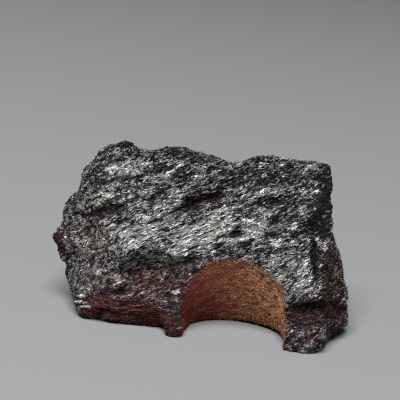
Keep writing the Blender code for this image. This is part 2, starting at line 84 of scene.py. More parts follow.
# Patches of the front: the middle (right, up) and half the size in the leaning frame, in millimetres, how
# far the length is turned upwards, and then its silver, its redness, its hue (olive below zero, violet
# above) and how well its needles line up. Some patches paint light and shade: silver above two gives painted
# glints, near-white crystals, and low or below-zero silver gives painted shade in grooves, creases, pits and
# hollows, on the top edges and on the rim turned from the light.
PATCHES = {
    "left of the middle": ((-10.0, 25.6), (5.6, 2.8), 25, 0.64, 0.05, 0.3, 0.4),
    "over the pit": ((-3.0, 33.6), (7.0, 2.2), 20, 0.32, 0.02, -0.1, 0.4),
    # Painted shade: little silver darkens the top edges.
    "top edge, left": ((-5.4, 36.6), (5.0, 1.2), -8, 0.12, 0.0, 0.0, 0.3),
    "top edge, right": ((12.5, 37.2), (6.5, 1.0), -3, 0.26, 0.0, 0.0, 0.3),
    "left end": ((-23.5, 18.5), (5.5, 4.5), 20, 0.49, 0.30, 0.0, 0.1),
    "left end, low": ((-20.5, 9.8), (5.0, 4.2), 10, 0.54, 0.32, 0.0, 0.1),
    "left end, upper": ((-22.6, 27.2), (4.5, 3.5), 20, 0.50, 0.02, -0.4, 0.1),
    "knob": ((-18.8, 35.6), (4.5, 2.4), 10, 0.36, 0.04, -0.3, 0.1),
    # Painted shade: little silver darkens the top of the knob.
    "top of the knob": ((-18.6, 38.2), (2.4, 1.2), 5, 0.15, 0.02, -0.2, 0.1),
    "dark beside the ledge": ((-23.4, 29.9), (1.9, 1.1), 10, 0.12, 0.0, 0.0, 0.1),
    # Painted highlight: so much silver that the ledge's crystals are lighter, and some take the painted
    # glint.
    "ledge under the knob": ((-17.6, 32.5), (4.4, 1.6), 14, 1.90, 0.0, 0.0, 0.5),
    "rise from the ledge": ((-15.4, 35.0), (2.6, 0.8), 52, 0.80, 0.0, 0.0, 0.3),
    # Painted shade: low silver in the groove over the white streak.
    "dark over the white streak": ((-11.6, 33.5), (3.4, 1.0), 21, 0.10, 0.0, 0.0, 0.4),
    "white streak": ((-11.2, 31.8), (2.7, 0.5), 13, 1.40, 0.0, 0.0, 0.8),
    # Painted shade: low silver in the crease on the left.
    "crease on the left": ((-20.5, 23.8), (4.4, 0.9), 19, 0.12, 0.10, -0.5, 0.3),
    "light on the left": ((-24.6, 16.4), (1.6, 1.3), 28, 0.95, 0.0, 0.0, 0.1),
    "tip on the left": ((-30.4, 16.2), (1.6, 2.3), 0, 0.10, 0.32, 0.0, 0.1),
    # Painted glint: a near-white spot where a crystal face catches the light.
    "white spot": ((-20.5, 11.5), (0.9, 0.45), 33, 2.60, 0.0, 0.0, 0.9),
    "belly": ((-12.4, 20.4), (6.6, 2.9), 24, 1.20, 0.0, 0.1, 1.0),
    "end of the belly": ((-15.8, 17.6), (2.0, 0.8), 45, 1.50, 0.0, 0.0, 1.0),
    "undercut": ((-8.6, 11.3), (7.6, 4.0), 14, 0.46, 0.66, 0.0, 0.7),
    "pink streak": ((-8.3, 14.3), (2.5, 0.5), 21, 0.95, 0.50, 0.3, 1.0),
    # The band on the left is made dark red: maroon dark crystals and reddened bright ones.
    "band on the left": ((-15.0, 4.4), (9.5, 2.6), 2, 0.20, 0.90, 0.0, 1.0),
    # Painted shade: low silver in the groove over the band.
    "dark over the band": ((-17.3, 7.5), (3.8, 0.8), 13, 0.05, 0.50, 0.0, 0.4),
    # Painted glints: near-white crystals along the edge of the band.
    "edge of the band": ((-23.7, 4.9), (1.3, 0.22), 4, 2.40, 0.10, 0.0, 0.8),
    "edge of the band, upper": ((-23.9, 6.1), (1.0, 0.22), 4, 2.40, 0.0, 0.0, 0.8),
    "edge of the band, low": ((-22.7, 4.1), (1.0, 0.20), 4, 2.00, 0.10, 0.0, 0.8),
    "beside the scoop": ((-4.4, 9.6), (2.0, 4.6), 6, 0.24, 0.45, 0.0, 0.3),
    # Painted glint: near-white grains by the scoop.
    "white grains by the scoop": ((-5.0, 9.2), (0.8, 0.4), 10, 2.60, 0.0, 0.0, 0.9),
    "middle of the band": ((-8.8, 3.4), (4.0, 1.8), 2, 0.04, 1.00, 0.0, 1.0),
    "foot": ((-4.8, 1.8), (2.4, 2.2), 0, -0.1, 0.50, -0.3, 0.2),
    "belt": ((-1.5, 20.6), (8.0, 2.8), 28, 1.20, 0.0, 0.0, 1.0),
    "edge of the belt": ((-2.6, 18.3), (5.4, 0.7), 27, 1.30, 0.0, 0.0, 1.0),
    "dark by the boss": ((-8.9, 29.2), (1.8, 0.9), 25, 0.12, 0.15, 0.0, 0.3),
    "boss by the pit": ((-6.4, 29.4), (2.2, 1.6), 40, 0.70, 0.0, 0.4, 0.3),
    # Painted shade: low silver darkens the groove over the pit, the pit and its tail.
    "ridge over the pit": ((2.4, 31.6), (5.4, 1.0), 26, 0.08, 0.0, -0.3, 0.5),
    "slanting pit": ((-0.9, 28.3), (4.1, 1.3), 23, 0.0, 0.22, 0.0, 0.5),
    "tail of the pit": ((-3.9, 26.2), (2.3, 0.8), 9, 0.10, 0.10, 0.0, 0.3),
    "ledge under the pit": ((1.9, 25.4), (3.8, 1.4), 22, 0.95, 0.0, 0.0, 0.6),
    "ring": ((8.0, 22.4), (4.6, 2.8), 15, 1.12, 0.0, 0.3, 0.2),
    # Painted shade: no silver in the hole in the ring.
    "dark in the ring": ((6.1, 22.1), (1.7, 0.8), 26, 0.0, 0.0, 0.0, 0.2),
    "smooth above the scoop": ((8.4, 19.6), (3.2, 1.4), 28, 0.34, 0.0, -0.1, 0.5),
    "top right": ((12.0, 34.4), (9.0, 2.4), 8, 0.18, 0.0, -0.2, 0.2),
    "crest of the ridge": ((10.2, 30.7), (2.0, 0.5), 34, 1.10, 0.0, -0.3, 0.8),
    "end of the crest": ((12.6, 31.2), (1.5, 0.45), -25, 1.10, 0.0, -0.3, 0.8),
    # Painted shade: low silver under the ridge, where its shadow falls.
    "shadow of the ridge": ((13.3, 29.5), (3.8, 1.0), 22, 0.12, 0.0, -0.2, 0.3),
    "hollow on the right": ((15.6, 26.4), (4.8, 2.4), 30, 0.40, 0.0, 1.0, 0.2),
    # Painted glint: near-white grains.
    "bright grains": ((14.5, 21.3), (1.1, 0.5), 27, 2.60, 0.0, 0.0, 0.9),
    # Painted shade: low silver in the groove over the grains.
    "dark over the grains": ((13.6, 23.0), (2.8, 0.8), 18, 0.10, 0.0, 0.3, 0.2),
    "facet on the right": ((18.0, 14.6), (4.4, 5.6), 70, 0.76, 0.12, 0.4, 0.6),
    "cap at the corner": ((19.2, 36.9), (2.6, 1.5), 14, 0.55, 0.0, 0.0, 0.6),
    "right end": ((26.4, 15.0), (2.6, 8.0), 12, 0.13, 0.20, -0.9, 0.1),
    # Painted shade: silver below zero makes the rim at the corner, turned from the light, deepest black.
    "rim at the corner": ((23.6, 31.0), (1.7, 7.5), 0, -0.7, 0.0, 0.0, 0.3),
    "rim, wide": ((22.2, 26.3), (3.0, 1.7), 61, -0.7, 0.0, 0.0, 0.3),
    "rim, low": ((22.2, 19.0), (4.8, 0.7), -80, -0.5, 0.0, 0.0, 0.3),
    # Painted shade: silver below zero makes the hollow of the leg deepest black.
    "hollow of the leg": ((23.3, 8.0), (6.2, 2.6), 8, -0.5, 0.30, 0.3, 0.1),
    # Painted glints: single near-white grains where crystal faces catch the light.
    "grain on the left": ((-16.4, 10.1), (0.55, 0.4), 40, 2.60, 0.0, 0.0, 0.9),
    "grain on the foot": ((-3.6, 2.2), (0.5, 0.25), 10, 2.40, 0.0, 0.0, 0.9),
    "grain at the top right": ((14.8, 34.9), (0.45, 0.3), 20, 2.60, 0.0, 0.0, 0.9),
    "grain at the top": ((10.6, 34.5), (0.45, 0.3), 20, 2.40, 0.0, 0.0, 0.9),
    "grain in the hollow": ((17.5, 24.8), (0.8, 0.5), 30, 2.20, 0.0, 0.3, 0.8),
    "grain over the hollow": ((12.1, 26.9), (0.8, 0.5), 30, 1.80, 0.0, 0.3, 0.8),
    "grain at the rim": ((21.7, 32.3), (0.6, 0.45), 60, 2.20, 0.0, 0.0, 0.8),
    "grain at the right end": ((24.2, 21.5), (0.5, 0.9), 0, 1.60, 0.0, 0.3, 0.5),
    "side of the leg": ((28.2, 6.6), (2.2, 3.0), 0, 0.12, 0.30, 0.2, 0.1),
    "heel": ((22.1, 3.0), (4.6, 2.2), 12, 0.34, 0.30, 0.5, 0.1),
}
PLAIN_PATCH = (0.45, 0.07, -0.1, 0.4)

# Small forms of the front: middle, half the size, turn and height, in millimetres.
FORMS = {
    "crease on the left": ((-20.5, 23.9), (4.6, 0.8), 19, -0.55),
    "groove over the white streak": ((-11.6, 33.5), (3.4, 0.9), 21, -0.50),
    "white streak": ((-11.2, 31.7), (2.8, 0.5), 13, 0.35),
    "groove over the pit": ((2.4, 31.8), (5.6, 0.8), 26, -0.55),
    "crest of the ridge": ((10.4, 30.8), (2.2, 0.6), 32, 0.40),
    "end of the crest": ((12.7, 31.1), (1.6, 0.5), -25, 0.35),
    "shadow of the ridge": ((13.4, 29.6), (4.0, 0.8), 22, -0.45),
    "hole in the ring": ((6.1, 22.1), (1.3, 0.5), 26, -0.60),
    "edge of the belt": ((-2.6, 18.5), (5.4, 0.6), 27, 0.45),
    "groove in the belt": ((-2.0, 21.2), (5.0, 0.5), 27, -0.35),
    "end of the belly": ((-15.8, 17.8), (2.0, 0.8), 45, 0.40),
    "pink streak": ((-8.3, 14.4), (2.6, 0.5), 21, 0.30),
    "groove over the band": ((-17.3, 7.6), (4.2, 0.7), 13, -0.50),
    "tail of the pit": ((-3.9, 26.3), (2.4, 0.7), 9, -0.45),
    "groove by the grains": ((13.6, 23.0), (3.0, 0.6), 18, -0.45),
    "ledge under the knob": ((-17.6, 32.2), (4.0, 1.0), 14, 0.45),
    "hollow of the leg": ((23.3, 8.6), (6.0, 1.8), 8, -0.40),
    "edge of the band": ((-23.9, 4.9), (1.4, 0.24), 4, 0.80),
    "edge of the band, upper": ((-24.1, 6.1), (1.0, 0.24), 4, 0.80),
    "edge of the band, low": ((-22.8, 4.0), (1.0, 0.24), 4, 0.70),
    "groove down the right": ((22.2, 19.5), (4.4, 0.45), -80, -0.55),
}

# Small shifts of the outline: middle, half the size, and how far to the right and up, in millimetres.
SHIFTS = {
    "roof of the pit": ((-1.0, 30.2), (5.2, 2.0), (0.0, -1.1)),
    "left side of the foot": ((-7.8, 0.8), (2.0, 2.4), (1.0, 0.0)),
    "shoulder of the knob": ((-23.2, 36.6), (2.2, 2.4), (0.3, 0.0)),
    "right of the knob": ((-15.6, 38.6), (1.6, 1.6), (-0.4, -0.3)),
    "left end": ((-30.4, 24.2), (2.4, 3.2), (0.8, 0.0)),
    "left of the knob": ((-20.8, 38.6), (1.6, 1.4), (0.3, -0.5)),
    "corner on the right": ((23.6, 37.0), (1.8, 2.0), (0.5, 0.3)),
    "right side of the scoop": ((15.4, 3.0), (3.4, 6.5), (0.6, 0.0)),
    "right shoulder of the scoop": ((15.2, 13.0), (3.2, 6.0), (1.4, 0.2)),
    "right side of the foot": ((-3.2, 1.6), (1.8, 2.6), (0.8, 0.0)),
    "right of the heel": ((28.5, 3.6), (3.0, 2.6), (-0.9, 0.2)),
    "top of the scoop": ((3.8, 17.4), (5.2, 2.0), (0.0, -0.7)),
}

# The finish off the front: silver, redness and hue vary in clouds, and there is less silver where the skin
# faces right, a painted shade on the side turned from the light.
BACK_SILVER = 0.34
BACK_SILVER_VARIES = 0.5
BACK_SILVER_LOST_TO_PAINTED_SHADE = 0.75
BACK_REDNESS = 0.35
BACK_REDNESS_START = 0.15
BACK_REDNESS_VARIES = 1.3
BACK_HUE_VARIES = 1.5
BACK_ORDER = 0.4

# How silver, redness and hue vary about the finish of a patch: streaks show most where the needles line up.
MOTTLING = 1.5
MOTTLING_LOST_IN_ORDER = 0.7
FINE_MOTTLING = 0.5
STREAKING = 1.8
LEAST_MOTTLING = 0.15
MOTTLED_FROM = -0.1
HUE_VARIES = 0.6

# Sparks, painted glints of the left end: the share of the skin under the start and under the full spark,
# their silver, which is enough to paint them near white, and the least silver that the skin has about them.
SPARK_START = 0.965
SPARK_FULL = 0.985
SPARK_SILVER = 2.4
SPARKS_FROM = 0.3

# How steeply a side fades with the way that the skin faces, and where the fade begins.
FRONT_FINISH = (2.5, 0.6)
FRONT_RELIEF = (2.0, 0.3)
# Where the skin faces right, less silver paints shade on the side turned from the light.
RIGHT_PAINTED_SHADE = (1.5, 0.0)

# How steeply the grain runs out of the skin where it counts as cut across, and the fade.
CUT_START = 0.45
CUT_FADE = 0.3

# How far a patch, a form or a shift reaches, and over how much it fades, counted in half sizes.
PATCH_REACH = (1.35, 0.8)
FORM_REACH = (1.4, 1.2)
SHIFT_REACH = (1.3, 1.1)

# Places of the front that are treated in their own way: middle, half the size, turn, reach and fade.
FACET = ((18.4, 14.0), (4.4, 7.0), 0, 1.4, 0.7)
SMOOTH_END = ((24.6, 30.0), (2.6, 8.5), 4, 1.3, 0.8)
# Where painted glints are spread at random over the left end.
PAINTED_SPARKLE_END = ((-22.0, 14.5), (7.0, 9.5), 20, 1.3, 0.5)
OCHRE_SPOT = ((27.2, 16.4), (0.45, 1.0), 0, 1.3, 0.8)
OCHRE_SPOT_STAIN = 0.7

# The band on the left: its top and its right end in the leaning frame, each with its fade, in millimetres.
BAND_TOP = 8.5
BAND_TOP_FADE = 3.0
BAND_END = -1.0
BAND_END_FADE = 4.0

# Noise that runs with the grain: its size along, across and through the grain in millimetres, and an offset
# that keeps it apart from the others.
FIBROUS = {
    "bundles": ((4.5, 1.1, 1.1), 31.0),
    "fibres": ((2.4, 0.55, 0.55), 11.0),
    "ribs": ((5.0, 0.48, 0.48), 17.0),
    "mottle": ((2.6, 0.9, 0.9), 71.0),
    "fine mottle": ((1.0, 0.55, 0.55), 91.0),
    "streak": ((3.6, 0.42, 0.42), 97.0),
}

# Noise that has the same size all ways, in millimetres, and its offset.
CLOUDY = {
    "silver_and_painted_light": (4.5, 5.0),
    "redness": (3.5, 23.0),
    "hue": (5.0, 43.0),
    "sparks": (0.42, 63.0),
    "chips": (1.1, 83.0),
    "fine grit of the wall": (0.6, 87.0),
    "coarse grit of the wall": (1.1, 89.0),
    "stain past the rim": (1.2, 93.0),
}

# The crystal facets: their size in millimetres, their offset, what sets the tilt and the step of each cell
# apart from its neighbours', and the height of a step.
CRYSTAL_SIZE = (1.0, 0.55, 0.55)
CRYSTAL_OFFSET = 3.0
TILT_SPACING = 7.31
STEP_SPACING = 5.17
CRYSTAL_STEP = 0.35

# The grit of the skin: its size in millimetres, its offset and its height in millimetres.
GRIT_SIZE = (0.6, 0.25, 0.25)
GRIT_OFFSET = 57.0
GRIT_RISE = 0.08

# Heights of the skin's relief, in millimetres.
BUNDLE_RISE = 0.34
FIBRE_RISE = 0.22
RIB_RISE = 0.26
CRYSTAL_RISE = 0.34
CRYSTAL_RISE_LOST_IN_ORDER = 0.12

# Shares of the relief that go where the grain is cut across, and at the smooth end on the right.
CALM_WHERE_CUT = 0.45
CALM_AT_THE_END = 0.25

# The drilled wall: how near to the hole it lies and how squarely it faces the axis. Its dark edge is found
# from the skin beside the wall, as far out as the search goes, and has this width.
WALL_NEARNESS = 0.12 * MM
WALL_FACING = -0.86
EDGE_SEARCH = 1.0 * MM
EDGE_WIDTH = 1.6 * MM

# The wall's grit, in millimetres: it is finer on the left, and grows from the start, over the span.
WALL_GRIT_LEFT = 0.015
WALL_GRIT_ADDED_RIGHT = 0.050
WALL_GRIT_START = 2.0
WALL_GRIT_SPAN = 14.0
FINE_GRIT_SHARE = 0.8
COARSE_GRIT_SHARE = 1.2

# The rim round the scoop: how far it reaches, how it is chipped, and how the wall's stain runs over it.
RIM_WIDTH = 0.9 * MM
CHIP_DEPTH = 0.35 * MM
CHIP_CONTRAST = 1.6
CHIP_START = 0.25
RIM_STAIN = 0.8
RIM_STAIN_REACH = 1.2
RIM_STAIN_CONTRAST = 0.9
RIM_STAIN_START = 0.3

# Where the stone rests: the skin stays flat below the first height, no needle grows below the second, and
# none reaches below the third.
FLAT_HEIGHT = 0.06 * MM
NEEDLES_FROM_HEIGHT = 0.3 * MM
NEEDLES_OFF_GROUND = 0.02 * MM


def select_only(piece):
    bpy.ops.object.select_all(action="DESELECT")
    piece.select_set(True)
    bpy.context.view_layer.objects.active = piece


def link(piece):
    bpy.context.scene.collection.objects.link(piece)
    return piece


def apply_all(piece):
    select_only(piece)
    for modifier in list(piece.modifiers):
        bpy.ops.object.modifier_apply(modifier=modifier.name)


def transform(piece, matrix):
    piece.matrix_world = matrix
    select_only(piece)
    bpy.ops.object.transform_apply()


def coordinates(mesh):
    flat_list = np.empty(len(mesh.vertices) * 3)
    mesh.vertices.foreach_get("co", flat_list)
    return flat_list.reshape(-1, 3)


def normals(mesh):
    flat_list = np.empty(len(mesh.vertices) * 3, dtype=np.float32)
    mesh.vertex_normals.foreach_get("vector", flat_list)
    return flat_list.reshape(-1, 3).astype(float)


def attribute(mesh, name, values):
    made = mesh.attributes.new(name, "FLOAT", "POINT")
    made.data.foreach_set("value", np.asarray(values, dtype=np.float32))


def in_frame(places, *axes):
    return places @ np.array([list(axis) for axis in axes]).T


def normalised(vectors):
    return vectors / np.maximum(np.linalg.norm(vectors, axis=1), 1e-9)[:, None]


def smooth_step(share):
    share = np.clip(share, 0.0, 1.0)
    return share * share * (3.0 - 2.0 * share)


def apart(offset):
    """A shift that keeps one noise apart from the others."""
    return Vector((offset, offset * 0.7, offset * 1.3))


def rough(places, offset):
    """Smooth noise at each place, from about -1 to 1."""
    shifted = apart(offset)
    return np.array([noise.noise(Vector(place) + shifted) for place in places])


def facets(places, offset):
    """Height of flat, tilted crystal faces, one for each cell of the space."""
    shifted = apart(offset)
    heights = np.empty(len(places))
    for index, place in enumerate(places):
        at = Vector(place) + shifted
        cell = noise.voronoi(at)[1][0]
        tilt = noise.cell_vector(cell * TILT_SPACING) - Vector((0.5, 0.5, 0.5))
        step = noise.cell(cell * STEP_SPACING) - 0.5
        heights[index] = (at - cell).dot(tilt) + CRYSTAL_STEP * step
    return heights


def from_the_axis(places):
    """The shortest way from the drill hole's axis to each place."""
    away = places - np.array(HOLE_ON_FRONT)
    axis = np.array(HOLE_AXIS)
    return away - (away @ axis)[:, None] * axis


def off_the_hole(places):
    """How far each place is from the wall that the drill left: below zero inside the hole."""
    return np.linalg.norm(from_the_axis(places), axis=1) - HOLE_RADIUS


def near_to(places, others, reach):
    """1 where a place has one of the others right beside it, falling to 0 at the reach."""
    tree = kdtree.KDTree(len(others))
    for index, other in enumerate(others):
        tree.insert(other, index)
    tree.balance()
    distance = np.array([tree.find(place)[2] for place in places])
    return smooth_step(1.0 - distance / reach)


def make_rock():
    """The skin over the solid, split into quads that run with the grain."""
    rock = link(bpy.data.objects.new("rock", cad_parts["nuummite"].data.copy()))
    rock.data.materials.clear()
    select_only(rock)
    bpy.ops.object.mode_set(mode="EDIT")
    bpy.ops.mesh.select_all(action="SELECT")
    bpy.ops.mesh.remove_doubles(threshold=SAME_CORNER)
    bpy.ops.object.mode_set(mode="OBJECT")
    along_grain = Matrix((GRAIN, ACROSS, THROUGH)).to_4x4()
    squeezed = Matrix.Diagonal((1.0 / SKIN_STRETCH, 1.0, 1.0, 1.0))
    for step in (along_grain, squeezed):
        transform(rock, step)
    remesh = rock.modifiers.new("skin", "REMESH")
    remesh.mode = "VOXEL"
    remesh.voxel_size = SKIN_ACROSS
    apply_all(rock)
    for step in (squeezed.inverted(), along_grain.inverted()):
        transform(rock, step)
    return rock


rock = make_rock()
places = coordinates(rock.data)
facing = normals(rock.data)
off_wall = off_the_hole(places)
to_axis = np.sum(facing * from_the_axis(places), axis=1) / HOLE_RADIUS
wall = ((np.abs(off_wall) < WALL_NEARNESS) & (to_axis < WALL_FACING)).astype(float)
flat = (places[:, 2] < FLAT_HEIGHT).astype(float)
edge = np.zeros(len(places))
beside_wall = places[(wall == 0.0) & (off_wall < EDGE_SEARCH)]
edge[wall > 0.0] = near_to(places[wall > 0.0], beside_wall, EDGE_WIDTH)

grain_mm = in_frame(places, GRAIN, ACROSS, THROUGH) / MM
band_mm = in_frame(places, BAND_GRAIN, UP, OUT) / MM
facet_mm = in_frame(places, FACET_GRAIN, FACET_GRAIN.cross(OUT), OUT) / MM
seen = in_frame(places - np.array(LEANING_ZERO), RIGHT, UP) / MM


def within(middle, half_size, turn, reach, fade):
    """1 inside an ellipse of the front and 0 from its reach on, with a fade between, both in half sizes."""
    across = seen[:, 0] - middle[0]
    along = seen[:, 1] - middle[1]
    cos_turn = math.cos(math.radians(turn))
    sin_turn = math.sin(math.radians(turn))
    half_sizes_out = np.hypot(
        (across * cos_turn + along * sin_turn) / half_size[0],
        (along * cos_turn - across * sin_turn) / half_size[1],
    )
    return smooth_step((reach - half_sizes_out) / fade)


below_top = smooth_step((BAND_TOP - seen[:, 1]) / BAND_TOP_FADE)
before_end = smooth_step((BAND_END - seen[:, 0]) / BAND_END_FADE)
in_band = below_top * before_end
in_facet = within(*FACET)
smooth_end = within(*SMOOTH_END)


def along_fibres(name):
    """Noise that runs with the grain, nearly level in the band on the left and steeper on the facet."""
    size, offset = FIBROUS[name]
    plain, level, steep = [rough(way / np.array(size), offset) for way in (grain_mm, band_mm, facet_mm)]
    return plain + (level - plain) * in_band + (steep - plain) * in_facet


def clouds(name):
    """Noise that has the same size all ways."""
    size, offset = CLOUDY[name]
    return rough(places / MM / size, offset)


def cut_across(steepness):
    """1 where the grain runs straight out of the skin, and 0 where it lies in it."""
    return smooth_step((steepness - CUT_START) / CUT_FADE)


def towards(way, contrast, start):
    """How far the skin faces this way, from 0 to 1."""
    return smooth_step(facing @ np.array(way) * contrast + start)


def on_the_front():
    """The finish of each patch, laid one over the other."""
    finishes = np.tile(PLAIN_PATCH, (len(places), 1))
    for middle, half_size, turn, *finish in PATCHES.values():
        share = within(middle, half_size, turn, *PATCH_REACH)
        finishes += (np.array(finish) - finishes) * share[:, None]
    return finishes


def off_the_front(hue_cloud):
    """The finish of the back, the ends and the top, in clouds: the right end is the darkest, a painted
    shade.
    """
    silver_cloud = clouds("silver_and_painted_light")
    silver_and_painted_light = BACK_SILVER + BACK_SILVER_VARIES * silver_cloud
    silver_and_painted_light = silver_and_painted_light * (1.0 - BACK_SILVER_LOST_TO_PAINTED_SHADE * towards(RIGHT, *RIGHT_PAINTED_SHADE))
    redness = BACK_REDNESS * smooth_step(BACK_REDNESS_START + BACK_REDNESS_VARIES * clouds("redness"))
    return np.stack([silver_and_painted_light, redness, BACK_HUE_VARIES * hue_cloud, BACK_ORDER + silver_cloud], axis=1)


def painted_sparkle(plain_silver_and_painted_light):
    """Painted glints of the left end: the rarest tops of a fine noise, where it isn't dark, lifted to the
    near-white glint.
    """
    sparks = clouds("sparks")
    start = np.quantile(sparks, SPARK_START)
    full = np.quantile(sparks, SPARK_FULL)
    rarest = smooth_step((sparks - start) / (full - start))
    return SPARK_SILVER * rarest * within(*PAINTED_SPARKLE_END) * (plain_silver_and_painted_light > SPARKS_FROM)


def patched():
    """Silver, redness, hue and order of the skin: from the patches on the front, and from clouds elsewhere.
    """
    hue_cloud = clouds("hue")
    front = towards(OUT, *FRONT_FINISH)[:, None]
    mixed = front * on_the_front() + (1.0 - front) * off_the_front(hue_cloud)
    plain_silver_and_painted_light, plain_redness, plain_hue, order = mixed.T
    mottle = along_fibres("mottle")
    fine_mottle = along_fibres("fine mottle")
    streaks = STREAKING * order * along_fibres("streak")
    mottling = MOTTLING - MOTTLING_LOST_IN_ORDER * order
    silver_and_painted_light = plain_silver_and_painted_light * (1.0 + mottling * mottle + FINE_MOTTLING * fine_mottle + streaks)
    silver_and_painted_light += LEAST_MOTTLING * mottle * (plain_silver_and_painted_light > MOTTLED_FROM)
    silver_and_painted_light += painted_sparkle(plain_silver_and_painted_light)
    redness = plain_redness * (1.0 + mottle + FINE_MOTTLING * fine_mottle)
    hue = plain_hue + HUE_VARIES * hue_cloud
    return (
        np.clip(silver_and_painted_light, -1.0, 3.0),
        np.clip(redness, 0.0, 1.0),
        np.clip(hue, -1.0, 1.0),
        np.clip(order, 0.0, 1.0),
    )


silver_and_painted_light, redness, hue, order = patched()
to_front = towards(OUT, *FRONT_RELIEF)

# Relief of the skin
forms = np.zeros(len(places))
for middle, half_size, turn, rise in FORMS.values():
    forms += rise * within(middle, half_size, turn, *FORM_REACH)
crystals = facets(grain_mm / np.array(CRYSTAL_SIZE), CRYSTAL_OFFSET)
crystal_rise = CRYSTAL_RISE - CRYSTAL_RISE_LOST_IN_ORDER * order
end_on = cut_across(np.abs(facing @ np.array(GRAIN)))
height = along_fibres("bundles") * BUNDLE_RISE + along_fibres("fibres") * FIBRE_RISE
height += along_fibres("ribs") * order * RIB_RISE
height += crystals * crystal_rise
height *= 1.0 - CALM_WHERE_CUT * end_on
height *= 1.0 - CALM_AT_THE_END * smooth_end
height += rough(grain_mm / np.array(GRIT_SIZE), GRIT_OFFSET) * GRIT_RISE
height = (height + forms * to_front) * MM
height *= (1.0 - wall) * (1.0 - flat)

# Chips along the rim of the scoop, and the grit of its wall
rim = (1.0 - wall) * smooth_step(1.0 - off_wall / RIM_WIDTH)
height -= CHIP_DEPTH * rim * smooth_step(CHIP_CONTRAST * clouds("chips") + CHIP_START)
wall_grit = FINE_GRIT_SHARE * clouds("fine grit of the wall")
wall_grit += COARSE_GRIT_SHARE * clouds("coarse grit of the wall")
wall_right = smooth_step((places[:, 0] / MM + WALL_GRIT_START) / WALL_GRIT_SPAN)
height += (WALL_GRIT_LEFT + WALL_GRIT_ADDED_RIGHT * wall_right) * MM * wall * (1.0 - flat) * wall_grit

# Stain of the wall, of spots past its rim and of the ochre spot
past_rim = rim * RIM_STAIN_REACH + RIM_STAIN_CONTRAST * clouds("stain past the rim") - RIM_STAIN_START
stain = np.maximum(wall, RIM_STAIN * smooth_step(past_rim) * (rim > 0.0))
spot = within(*OCHRE_SPOT) * to_front
stain = np.maximum(stain, OCHRE_SPOT_STAIN * spot)

# Shifts of the outline
shift = np.zeros((len(places), 3))
for middle, half_size, (rightwards, upwards) in SHIFTS.values():
    share = within(middle, half_size, 0.0, *SHIFT_REACH)
    shift += share[:, None] * (np.array(RIGHT) * rightwards + np.array(UP) * upwards) * MM

skin = places + facing * height[:, None] + shift
skin[:, 2] = np.maximum(skin[:, 2], 0.0)
rock.data.vertices.foreach_set("co", skin.reshape(-1))
rock.data.update()
FINISH = {"silver_and_painted_light": silver_and_painted_light, "redness": redness, "hue": hue, "stain": stain, "edge": edge}
for name, values in FINISH.items():
    attribute(rock.data, name, values)


def select_vertices(piece, chosen):
    for polygon in piece.data.polygons:
        polygon.select = False
    for line in piece.data.edges:
        line.select = False
    for vertex in piece.data.vertices:
        vertex.select = chosen(vertex.co)


def model_needle():
    """One needle, a millimetre long and wide: a three-sided splinter with a point at each end."""
    bpy.ops.object.select_all(action="DESELECT")
    bpy.ops.mesh.primitive_cone_add(vertices=3, radius1=0.5, radius2=0.0, depth=0.5, end_fill_type="TRIFAN")
    needle = bpy.context.object
    select_vertices(needle, lambda place: place.z < 0.0 and place.xy.length < 0.1)
    bpy.ops.object.mode_set(mode="EDIT")
    bpy.ops.transform.translate(value=(0.0, 0.0, -0.5))
    bpy.ops.object.mode_set(mode="OBJECT")
    needle.location = (0.0, 0.0, 0.25)
    needle.rotation_euler = (0.0, math.radians(90.0), 0.0)
    bpy.ops.object.transform_apply()
    corners = coordinates(needle.data)
    corners -= (corners.max(axis=0) + corners.min(axis=0)) / 2.0
    sides = [list(polygon.vertices) for polygon in needle.data.polygons]
    bpy.data.objects.remove(needle)
    return corners, np.array(sides)


needle_corners, needle_sides = model_needle()
needle_waist = np.abs(needle_corners[:, 0]) < 0.1

# How needles are laid: how far they are scattered about their roots, the size in millimetres and the
# offsets of the noise that sways neighbours together, how far they sway and stray, and how far they are
# laid down into the skin.
SCATTER = 0.08 * MM
SWAY_SIZE = (3.0, 1.2, 1.2)
SWAY_OFFSETS = (101.0, 131.0, 151.0)
SWAY = 0.3
STRAY = 0.38
STRAY_LOST_IN_ORDER = 0.32
LAID_DOWN = 0.7

# How needles are rolled about their length: together with their neighbours, and each by itself.
ROLL_TOGETHER = math.radians(55.0)
ROLL_FINENESS = 1.3
ROLL_OFFSET = 171.0
ROLL_APART = 0.30

# How unlike needles are in length and width, what order and the cut of the grain do to their length, and
# how far from its middle a needle may be thickest, as a share of its length.
LENGTH_SPREAD = 0.35
WIDTH_SPREAD = 0.25
SHORTEST = 0.7
LONGER_IN_ORDER = 0.8
SHORTER_WHERE_CUT = 0.55
WAIST_SLIDE = 0.3

# How far needles stand out of the skin, in millimetres: more where the grain is cut, and less at the
# smooth end.
PROUD_LEAST = -0.04
PROUD_MOST = 0.08
PROUD_WHERE_CUT = 0.05
SUNK_AT_THE_END = 0.08

# How much a needle may lie any way round: a little in the skin, and more where it stands out of it.
ANY_WAY = 0.6
ANY_WAY_LEAST = 0.15


def choose_roots(chance, count, likely):
    """Places of the skin where needles grow: none on the flats or next to the ground."""
    weight = np.clip(likely, 0.0, None) * (1.0 - flat)
    weight[skin[:, 2] < NEEDLES_FROM_HEIGHT] = 0.0
    weight /= weight.sum()
    return chance.choice(len(skin), size=count, replace=False, p=weight)


